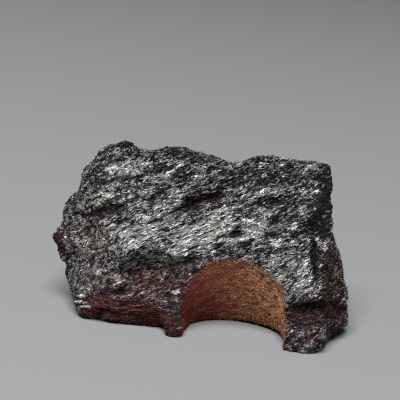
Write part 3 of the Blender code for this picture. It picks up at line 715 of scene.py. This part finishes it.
def directions(chance, root, near):
    """With the grain, swaying together, straying one by one and laid down into the skin."""
    out = facing[root]
    level = in_band[root][:, None]
    steeper = in_facet[root][:, None]
    grain = np.array(GRAIN) * (1.0 - level - steeper)
    grain = grain + np.array(BAND_GRAIN) * level + np.array(FACET_GRAIN) * steeper
    sway = np.stack([rough(near, offset) for offset in SWAY_OFFSETS], axis=1)
    stray = (STRAY - STRAY_LOST_IN_ORDER * order[root])[:, None]
    along = normalised(grain + (SWAY + stray) * sway + chance.normal(0.0, 1.0, out.shape) * stray)
    steep = np.sum(along * out, axis=1)
    laid = LAID_DOWN * (1.0 - cut_across(np.abs(steep)))
    return normalised(along - out * (steep * laid)[:, None])


def rolled(chance, root, near, along, steepness):
    """Where each needle's flat side and edge face: out of the skin, or any way where it stands up."""
    spare = normalised(chance.normal(0.0, 1.0, along.shape))
    up = facing[root] * (1.0 - steepness)[:, None]
    up = up + spare * (ANY_WAY_LEAST + steepness)[:, None] * ANY_WAY
    up = normalised(up - along * np.sum(up * along, axis=1)[:, None])
    side = np.cross(up, along)
    alone = chance.normal(0.0, ROLL_APART, len(root))
    roll = (ROLL_TOGETHER * rough(near * ROLL_FINENESS, ROLL_OFFSET) + alone)[:, None]
    return up * np.cos(roll) + side * np.sin(roll), side * np.cos(roll) - up * np.sin(roll)


def grow_needles(name, count, seed, likely, length, width, thickness, clearance):
    """Needles that lie in the skin along the grain, and stand out of it where the grain is cut across."""
    chance = np.random.default_rng(seed)
    root = choose_roots(chance, count, likely)
    out = facing[root]
    at = skin[root] + chance.normal(0.0, SCATTER, (count, 3))
    near = in_frame(at, GRAIN, ACROSS, THROUGH) / MM / np.array(SWAY_SIZE)
    along = directions(chance, root, near)
    steepness = np.abs(np.sum(along * out, axis=1))
    long = length * np.exp(chance.normal(0.0, LENGTH_SPREAD, count))
    long = long * (SHORTEST + LONGER_IN_ORDER * order[root]) * (1.0 - SHORTER_WHERE_CUT * steepness)
    wide = width * np.exp(chance.normal(0.0, WIDTH_SPREAD, count))
    up, side = rolled(chance, root, near, along, steepness)
    proud = chance.uniform(PROUD_LEAST, PROUD_MOST, count)
    proud = (proud + PROUD_WHERE_CUT * steepness - SUNK_AT_THE_END * smooth_end[root]) * MM
    centre = at + out * (proud - 0.5 * long * steepness)[:, None]
    corner = needle_corners[None, :, :] * np.stack([long, wide, wide * thickness], axis=1)[:, None, :]
    slide = long * chance.uniform(-WAIST_SLIDE, WAIST_SLIDE, count)
    corner[:, :, 0] += needle_waist[None, :] * slide[:, None]
    spread = (
        centre[:, None, :]
        + corner[:, :, 0:1] * along[:, None, :]
        + corner[:, :, 1:2] * side[:, None, :]
        + corner[:, :, 2:3] * up[:, None, :]
    )
    unshifted = spread - shift[root][:, None, :]
    clear = off_the_hole(unshifted.reshape(-1, 3)).reshape(count, -1).min(axis=1) > clearance
    clear &= spread[:, :, 2].min(axis=1) > NEEDLES_OFF_GROUND
    spread = spread[clear]
    kept = len(spread)
    each = len(needle_corners)
    sides = needle_sides[None, :, :] + (np.arange(kept) * each)[:, None, None]
    mesh = bpy.data.meshes.new(name)
    mesh.from_pydata(spread.reshape(-1, 3).tolist(), [], sides.reshape(-1, 3).tolist())
    for finish_name, values in FINISH.items():
        attribute(mesh, finish_name, np.repeat(values[root][clear], each))
    attribute(mesh, "chance", np.repeat(chance.uniform(0.0, 1.0, kept), each))
    attribute(mesh, "tint", np.repeat(chance.uniform(0.0, 1.0, kept), each))
    return link(bpy.data.objects.new(name, mesh))


# Colours of the crystals, in linear red, green and blue.
BLACK_DULL = (0.004, 0.004, 0.005)
BLACK_CLEAR = (0.024, 0.024, 0.025)
# Painted shade: the black of hollows and of the rim turned from the light.
BLACK_OF_PAINTED_SHADE = (0.005, 0.005, 0.005)
MAROON_DULL = (0.050, 0.012, 0.010)
MAROON_CLEAR = (0.110, 0.031, 0.027)
SILVER = (0.56, 0.56, 0.55)
SILVER_VIOLET = (0.51, 0.50, 0.56)
SILVER_OLIVE = (0.53, 0.53, 0.46)
SILVER_REDDENED = (0.19, 0.082, 0.072)
# A painted glint: a near-white colour for crystal faces that catch the light.
PAINTED_GLINT = (0.86, 0.86, 0.84)
UMBER = (0.03, 0.02, 0.015)

# Share of bright crystals where there is no silver and where there is most, and the chances between which a
# crystal goes from dark to bright, before that share is taken off.
FEWEST_BRIGHT = 0.01
MOST_BRIGHT = 0.85
BRIGHT_FROM = 0.84
BRIGHT_FULL = 1.56

# Silver at which a bright crystal begins to take the painted glint, and at which the painted glint is full.
PAINTED_GLINT_FROM = 2.1
PAINTED_GLINT_FULL = 2.9

# How far the wall's stain colours the dark crystals and the bright ones, and how much red the bright ones
# take on.
STAIN_ON_DARK = 0.35
STAIN_ON_BRIGHT = 0.9
REDNESS_ON_BRIGHT = 0.85

# The length and width of cells along the grain: of the skin's crystals, and of the wall's specks and
# blotches.
CRYSTAL_CELL = (0.70 * MM, 0.30 * MM)
SPECK_CELL = (1.3 * MM, 0.8 * MM)
BLOTCH_CELL = (3.2 * MM, 1.6 * MM)

# The drill's scratches round the wall: cells to a radian of the turn, and their spacing along the hole.
SCRATCHES_TO_A_RADIAN = 3.5
SCRATCH_SPACING = 0.45 * MM

# Heights on the wall between which it grows lighter.
WALL_FOOT = 2.0 * MM
WALL_TOP = 14.0 * MM

# Where its left side ends, at two heights, and where its right side begins.
LEFT_SIDE_LOW = 3.0 * MM
LEFT_SIDE_HIGH = 13.0 * MM
LEFT_SIDE_END_LOW = 3.0 * MM
LEFT_SIDE_END_HIGH = -1.5 * MM
RIGHT_SIDE = 14.0 * MM

# How much darker the wall and its grains are at the edge.
WALL_EDGE_SHARE = 0.55
GRAIN_EDGE_SHARE = 0.45

# Colours of the drilled wall and of its grains.
WALL_RED_LOW = (0.145, 0.019, 0.012)
WALL_RED_HIGH = (0.47, 0.118, 0.078)
WALL_OCHRE_LOW = (0.54, 0.255, 0.138)
WALL_OCHRE_HIGH = (0.92, 0.47, 0.245)
WALL_BLOTCH = (0.10, 0.022, 0.014)
WALL_SCRATCH = (0.46, 0.27, 0.19)
WALL_GROOVE = (0.060, 0.012, 0.008)
WALL_SPECK = (0.055, 0.016, 0.009)
WALL_EDGE = (0.050, 0.036, 0.024)
GRAIN_DARK = (0.020, 0.006, 0.004)
GRAIN_DUST = (0.74, 0.56, 0.33)
GRAIN_EDGE = (0.060, 0.045, 0.030)


def graph(name):
    material = bpy.data.materials.new(name)
    material.use_nodes = True
    tree = material.node_tree
    return material, tree, tree.nodes["Principled BSDF"]


def add(tree, kind, **values):
    node = tree.nodes.new(kind)
    for key, value in values.items():
        setattr(node, key, value)
    return node


def feed(tree, node, socket, source):
    if isinstance(source, bpy.types.NodeSocket):
        tree.links.new(source, node.inputs[socket])
    else:
        node.inputs[socket].default_value = source


def reckon(tree, kind, *terms):
    node = add(tree, "ShaderNodeMath", operation=kind)
    for index, term in enumerate(terms):
        feed(tree, node, index, term)
    return node.outputs[0]


def ramp(tree, value, low, high, to_low=0.0, to_high=1.0):
    """The value, moved from between low and high to between to_low and to_high, and held there."""
    node = add(tree, "ShaderNodeMapRange")
    feed(tree, node, "Value", value)
    feed(tree, node, "From Min", low)
    feed(tree, node, "From Max", high)
    feed(tree, node, "To Min", to_low)
    feed(tree, node, "To Max", to_high)
    return node.outputs["Result"]


def blend(tree, share, first, second):
    node = add(tree, "ShaderNodeMix", data_type="RGBA")
    feed(tree, node, 0, share)
    feed(tree, node, 6, first if isinstance(first, bpy.types.NodeSocket) else (*first, 1.0))
    feed(tree, node, 7, second if isinstance(second, bpy.types.NodeSocket) else (*second, 1.0))
    return node.outputs[2]


def of_point(tree, name):
    return add(tree, "ShaderNodeAttribute", attribute_name=name).outputs["Fac"]


def object_place(tree):
    return add(tree, "ShaderNodeTexCoord").outputs["Object"]


def split(tree, vector):
    node = add(tree, "ShaderNodeSeparateXYZ")
    tree.links.new(vector, node.inputs["Vector"])
    return node.outputs["X"], node.outputs["Y"], node.outputs["Z"]


def turned(tree, location, rotation, scale):
    """Object coordinates in a frame of their own, counted in steps of this scale."""
    mapping = add(tree, "ShaderNodeMapping", vector_type="TEXTURE")
    mapping.inputs["Location"].default_value = location
    mapping.inputs["Rotation"].default_value = rotation
    mapping.inputs["Scale"].default_value = scale
    tree.links.new(object_place(tree), mapping.inputs["Vector"])
    return mapping.outputs["Vector"]


def along_grain(tree, length, width):
    """Object coordinates in the grain's frame, counted in cells of this length and width."""
    turn = Matrix((GRAIN, ACROSS, THROUGH)).transposed().to_euler()
    return turned(tree, (0.0, 0.0, 0.0), turn, (length, width, width))


def cloud_texture(tree, vector, detail, roughness):
    node = add(tree, "ShaderNodeTexNoise")
    node.inputs["Scale"].default_value = 1.0
    node.inputs["Detail"].default_value = detail
    node.inputs["Roughness"].default_value = roughness
    tree.links.new(vector, node.inputs["Vector"])
    return node.outputs["Fac"]


def rightwards_on_wall(tree):
    """From 0 at the left of the wall to 1 at its right: low on the wall, the left side reaches further."""
    x, _, z = split(tree, object_place(tree))
    start = ramp(tree, z, LEFT_SIDE_LOW, LEFT_SIDE_HIGH, LEFT_SIDE_END_LOW, LEFT_SIDE_END_HIGH)
    return ramp(tree, x, start, RIGHT_SIDE)


def wall_colour(tree):
    """Red-brown on the left, brown in the middle and ochre on the right, lighter towards the top."""
    _, _, z = split(tree, object_place(tree))
    upwards = ramp(tree, z, WALL_FOOT, WALL_TOP)
    red = blend(tree, upwards, WALL_RED_LOW, WALL_RED_HIGH)
    ochre = blend(tree, upwards, WALL_OCHRE_LOW, WALL_OCHRE_HIGH)
    blotches = cloud_texture(tree, along_grain(tree, *BLOTCH_CELL), 3.0, 0.5)
    share = ramp(tree, blotches, 0.44, 0.62, 0.0, 0.5)
    return blend(tree, share, blend(tree, rightwards_on_wall(tree), red, ochre), WALL_BLOTCH)


def crystal_finish(tree, shader, chance, tint):
    """Black crystals, with silvery ones among them: more of them where the skin has more silver."""
    silver_and_painted_light = of_point(tree, "silver_and_painted_light")
    redness = of_point(tree, "redness")
    hue = of_point(tree, "hue")
    stain = of_point(tree, "stain")
    # How bright each crystal is, by its own chance and the silver about it.
    share = ramp(tree, silver_and_painted_light, 0.0, 1.0, FEWEST_BRIGHT, MOST_BRIGHT)
    bright_from = reckon(tree, "SUBTRACT", BRIGHT_FROM, share)
    bright = ramp(tree, chance, bright_from, reckon(tree, "SUBTRACT", BRIGHT_FULL, share))
    # The dark crystals: painted deepest black, a painted shade, where the silver is below zero, and maroon
    # where there is redness.
    clearer = ramp(tree, tint, 0.4, 1.0)
    plain_black = blend(tree, clearer, BLACK_DULL, BLACK_CLEAR)
    black = blend(tree, ramp(tree, silver_and_painted_light, 0.0, -0.5), plain_black, BLACK_OF_PAINTED_SHADE)
    maroon = blend(tree, clearer, MAROON_DULL, MAROON_CLEAR)
    dark = blend(tree, redness, black, maroon)
    # The bright ones go from olive through grey to violet and are reddened where there is redness, and where
    # there is most silver they take the painted glint, near white.
    shown = reckon(tree, "ADD", hue, ramp(tree, tint, 0.0, 1.0, -0.5, 0.5))
    cool = blend(tree, ramp(tree, shown, 0.0, 1.0), SILVER, SILVER_VIOLET)
    warm = blend(tree, ramp(tree, shown, 0.0, -1.0), cool, SILVER_OLIVE)
    reddened = blend(tree, reckon(tree, "MULTIPLY", redness, REDNESS_ON_BRIGHT), warm, SILVER_REDDENED)
    painted_glint = ramp(tree, silver_and_painted_light, PAINTED_GLINT_FROM, PAINTED_GLINT_FULL)
    light = blend(tree, painted_glint, reddened, PAINTED_GLINT)
    # Both take on the wall's brown where it has stained them.
    brown = blend(tree, 0.45, wall_colour(tree), UMBER)
    dark = blend(tree, reckon(tree, "MULTIPLY", stain, STAIN_ON_DARK), dark, brown)
    light = blend(tree, reckon(tree, "MULTIPLY", stain, STAIN_ON_BRIGHT), light, brown)
    feed(tree, shader, "Base Color", blend(tree, bright, dark, light))
    metallic_share = ramp(tree, painted_glint, 0.0, 1.0, 0.75, 0.15)
    feed(tree, shader, "Metallic", reckon(tree, "MULTIPLY", bright, metallic_share))
    silk = ramp(tree, tint, 0.0, 1.0, 0.46, 0.66)
    feed(tree, shader, "Roughness", ramp(tree, bright, 0.0, 0.6, 0.72, silk))
    shader.inputs["Specular IOR Level"].default_value = 0.1


def needle_material():
    material, tree, shader = graph("amphibole needles")
    crystal_finish(tree, shader, of_point(tree, "chance"), of_point(tree, "tint"))
    return material


def rock_material():
    """The same finish, with the chance and tint of each crystal from cells along the grain."""
    material, tree, shader = graph("amphibole")
    cells = add(tree, "ShaderNodeTexVoronoi")
    cells.inputs["Scale"].default_value = 1.0
    tree.links.new(along_grain(tree, *CRYSTAL_CELL), cells.inputs["Vector"])
    parts = add(tree, "ShaderNodeSeparateColor")
    tree.links.new(cells.outputs["Color"], parts.inputs["Color"])
    crystal_finish(tree, shader, parts.outputs[0], parts.outputs[1])
    return material


def wall_material():
    """The wall that the drill left: brown with rust, with fine dark specks and faint scratches round it."""
    material, tree, shader = graph("stained wall")
    specks = cloud_texture(tree, along_grain(tree, *SPECK_CELL), 2.0, 0.6)
    hole_turn = HOLE_AXIS.to_track_quat("Z", "Y").to_euler()
    x, y, z = split(tree, turned(tree, HOLE_ON_FRONT, hole_turn, (1.0, 1.0, 1.0)))
    ring = add(tree, "ShaderNodeCombineXYZ")
    turn = reckon(tree, "ARCTAN2", y, x)
    feed(tree, ring, "X", reckon(tree, "MULTIPLY", turn, SCRATCHES_TO_A_RADIAN))
    feed(tree, ring, "Y", reckon(tree, "DIVIDE", z, SCRATCH_SPACING))
    scratches = cloud_texture(tree, ring.outputs["Vector"], 2.0, 0.5)
    scratched = blend(tree, ramp(tree, scratches, 0.54, 0.64, 0.0, 0.40), wall_colour(tree), WALL_SCRATCH)
    ringed = blend(tree, ramp(tree, scratches, 0.50, 0.36, 0.0, 0.45), scratched, WALL_GROOVE)
    speck_share = ramp(tree, rightwards_on_wall(tree), 0.0, 0.8, 0.25, 0.85)
    specked = blend(tree, ramp(tree, specks, 0.46, 0.58, 0.0, speck_share), ringed, WALL_SPECK)
    dim = reckon(tree, "MULTIPLY", of_point(tree, "edge"), WALL_EDGE_SHARE)
    feed(tree, shader, "Base Color", blend(tree, dim, specked, WALL_EDGE))
    shader.inputs["Roughness"].default_value = 0.65
    shader.inputs["Specular IOR Level"].default_value = 0.05
    return material


def wall_grain_material():
    """Grains of the wall: some darker than it, some lighter and yellower, most of all on the right."""
    material, tree, shader = graph("stained grains")
    chance = of_point(tree, "chance")
    strength = ramp(tree, rightwards_on_wall(tree), 0.25, 0.85, 0.2, 1.0)
    shade = reckon(tree, "MULTIPLY", ramp(tree, chance, 0.0, 0.5, 0.7, 0.0), strength)
    darker = blend(tree, shade, wall_colour(tree), GRAIN_DARK)
    dust = reckon(tree, "MULTIPLY", ramp(tree, chance, 0.64, 1.0, 0.0, 0.80), strength)
    dusted = blend(tree, dust, darker, GRAIN_DUST)
    dim = reckon(tree, "MULTIPLY", of_point(tree, "edge"), GRAIN_EDGE_SHARE)
    feed(tree, shader, "Base Color", blend(tree, dim, dusted, GRAIN_EDGE))
    shader.inputs["Roughness"].default_value = 0.55
    shader.inputs["Specular IOR Level"].default_value = 0.06
    return material


rock.data.materials.append(rock_material())
rock.data.materials.append(wall_material())
cut = np.array([all(wall[i] for i in polygon.vertices) for polygon in rock.data.polygons])
rock.data.polygons.foreach_set("material_index", cut.astype(np.int32))
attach(rock, "root")
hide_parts("nuummite")

# Where crystals and grit are likely to grow: a few crystals grow on the wall's edge, and there are fewer
# on the smooth end than elsewhere.
FEWER_AT_THE_END = 0.3
ON_THE_EDGE = 0.35
SILVERY_ALL_OVER = 0.1
SILVERY_CONTRAST = 1.5
DARK_LOST_IN_SILVER = 0.7
CUT_ENDS_ALL_OVER = 0.35
GRIT_ALL_OVER = 0.06
GRIT_RIGHTWARDS = 12.0 * MM
shining = np.clip(silver_and_painted_light, 0.0, 1.0)
off_rim = (1.0 - wall) * (1.0 - FEWER_AT_THE_END * smooth_end) + ON_THE_EDGE * edge ** 2
silvery = off_rim * (SILVERY_ALL_OVER + shining ** SILVERY_CONTRAST)
dark = off_rim * (1.0 - DARK_LOST_IN_SILVER * shining)
cut_ends = off_rim * (CUT_ENDS_ALL_OVER + end_on)
gritty = wall * (GRIT_ALL_OVER + smooth_step(places[:, 0] / GRIT_RIGHTWARDS))

# Each kind: its name, how many, the seed of its draws, where it is likely, its length, its width, its
# thickness as a share of the width, how far off the drilled wall it stays, and its finish.
on_rock = needle_material()
on_wall = wall_grain_material()
kinds = (
    ("silvery_needles", 33000, 11, silvery, 0.80 * MM, 0.18 * MM, 0.8, -0.25 * MM, on_rock),
    ("dark_needles", 33000, 12, dark, 0.70 * MM, 0.22 * MM, 0.8, -0.25 * MM, on_rock),
    ("short_grains", 33000, 13, cut_ends, 0.42 * MM, 0.23 * MM, 1.0, -0.25 * MM, on_rock),
    ("wall_grains", 5200, 14, gritty, 0.52 * MM, 0.28 * MM, 0.5, -0.60 * MM, on_wall),
)
for *kind, finish in kinds:
    piece = grow_needles(*kind)
    piece.data.materials.append(finish)
    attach(piece, "root")

# Floor
PAPER_GREY = (0.30, 0.305, 0.31, 1.0)
FLOOR_SIZE = 4.0
paper, _, paper_shader = graph("paper")
paper_shader.inputs["Base Color"].default_value = PAPER_GREY
paper_shader.inputs["Roughness"].default_value = 0.9
bpy.ops.mesh.primitive_plane_add(size=FLOOR_SIZE)
floor = bpy.context.object
floor.name = "floor"
floor.data.materials.append(paper)

# Light: a soft box above and a little to the left, and a dim room
ROOM_COLOUR = (0.9, 0.95, 1.0, 1.0)
ROOM_STRENGTH = 0.07
LIGHT_AZIMUTH = math.radians(-12.0)
LIGHT_ELEVATION = math.radians(57.0)
LIGHT_DISTANCE = 1.6
LIGHT_WIDTH = 0.90
LIGHT_HEIGHT = 0.75
LIGHT_POWER = 40.0
STONE_MIDDLE = Vector((0.0, 0.0, 0.018))
to_light = Vector((
    math.sin(LIGHT_AZIMUTH) * math.cos(LIGHT_ELEVATION),
    -math.cos(LIGHT_AZIMUTH) * math.cos(LIGHT_ELEVATION),
    math.sin(LIGHT_ELEVATION),
))
light = bpy.data.lights.new("main light", "AREA")
light.shape = "RECTANGLE"
light.size = LIGHT_WIDTH
light.size_y = LIGHT_HEIGHT
light.energy = LIGHT_POWER
lamp = link(bpy.data.objects.new("main light", light))
lamp.location = STONE_MIDDLE + to_light.normalized() * LIGHT_DISTANCE
lamp.rotation_euler = to_light.to_track_quat("Z", "Y").to_euler()
world = bpy.data.worlds.new("room")
world.use_nodes = True
world.node_tree.nodes["Background"].inputs["Color"].default_value = ROOM_COLOUR
world.node_tree.nodes["Background"].inputs["Strength"].default_value = ROOM_STRENGTH
bpy.context.scene.world = world
bpy.context.scene.view_settings.view_transform = "Standard"
bpy.context.scene.cycles.use_denoising = False
bpy.context.scene.cycles.filter_width = 1.1

# Camera: square to the leaning front, and rolled a little
ROLL_DEGREES = 6.15
ROLL = math.radians(ROLL_DEGREES)
VIEW_MIDDLE = LEANING_ZERO + (RIGHT * -1.92 + UP * 28.08) * MM
VIEW_DISTANCE = 0.300
to_right = rising(ROLL_DEGREES)
to_top = UP * math.cos(ROLL) - RIGHT * math.sin(ROLL)
camera = link(bpy.data.objects.new("camera", bpy.data.cameras.new("camera")))
camera.data.lens = 135.0
camera.data.sensor_width = 36.0
camera.data.clip_start = 0.01
camera.data.clip_end = 10.0
camera.matrix_world = (
    Matrix.Translation(VIEW_MIDDLE + OUT * VIEW_DISTANCE)
    @ Matrix((to_right, to_top, OUT)).transposed().to_4x4()
)
bpy.context.scene.camera = camera
